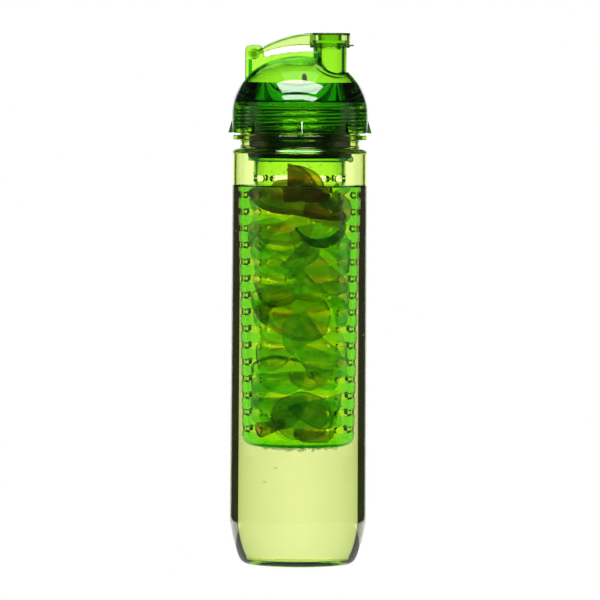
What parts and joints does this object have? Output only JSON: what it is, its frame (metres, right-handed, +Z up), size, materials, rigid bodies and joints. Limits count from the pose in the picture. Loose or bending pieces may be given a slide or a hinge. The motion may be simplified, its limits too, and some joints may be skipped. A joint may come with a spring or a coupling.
{
  "type": "infuser water bottle",
  "caption": "Clear screw-lid water bottle with a slotted fruit basket hung from the lid and a flip cap over the drinking spout.",
  "frame": {"origin": "on the bottle's axis, in the plane of the standing ring", "axes": "+Z up along the bottle's axis, +X from the cap's hinge towards the spout"},
  "size_m": [0.0716, 0.0716, 0.2655],
  "materials": {
    "clear_bottle": "clear pale green copolyester, polished",
    "clear_lid": "clear strong green plastic, polished",
    "clear_basket": "clear green plastic, polished",
    "pin_plastic": "dark green plastic",
    "soft_seal": "translucent green silicone"
  },
  "bodies": {
    "bottle": {"bottle_body": "clear_bottle"},
    "skirt_ring": {"skirt_ring": "soft_seal"},
    "lid_gasket": {"lid_seal": "soft_seal"},
    "lid": {"lid": "clear_lid", "vent_valve": "soft_seal", "hinge_pin": "pin_plastic"},
    "cap": {"flip_cap": "clear_lid", "spout_plug": "soft_seal"},
    "basket_gasket": {"basket_seal": "soft_seal"},
    "basket": {"basket": "clear_basket"}
  },
  "joints": [
    {"name": "lift_off", "type": "slide", "parent": "bottle", "child": "skirt_ring", "axis": [0, 0, 1], "range_m": [0, 0.175]},
    {"name": "lid_rise", "type": "slide", "parent": "skirt_ring", "child": "lid_gasket", "axis": [0, 0, 1], "range_m": [0, 0.0071]},
    {"name": "lid_turn", "type": "hinge", "parent": "lid_gasket", "child": "lid", "pos_m": [0, 0, 0.22], "axis": [0, 0, 1], "range_deg": [0, 720]},
    {"name": "cap_flip", "type": "hinge", "parent": "lid", "child": "cap", "pos_m": [-0.023, 0, 0.2548], "axis": [0, -1, 0], "range_deg": [0, 170]},
    {"name": "basket_drop", "type": "slide", "parent": "lid", "child": "basket_gasket", "axis": [0, 0, -1], "range_m": [0, 0.0071]},
    {"name": "basket_turn", "type": "hinge", "parent": "basket_gasket", "child": "basket", "pos_m": [0, 0, 0.21], "axis": [0, 0, -1], "range_deg": [0, 720]}
  ],
  "couplings": [
    {"joint": "lid_rise", "follows": "lid_turn", "m_per_rad": 0.00055704},
    {"joint": "basket_drop", "follows": "basket_turn", "m_per_rad": 0.00055704}
  ]
}
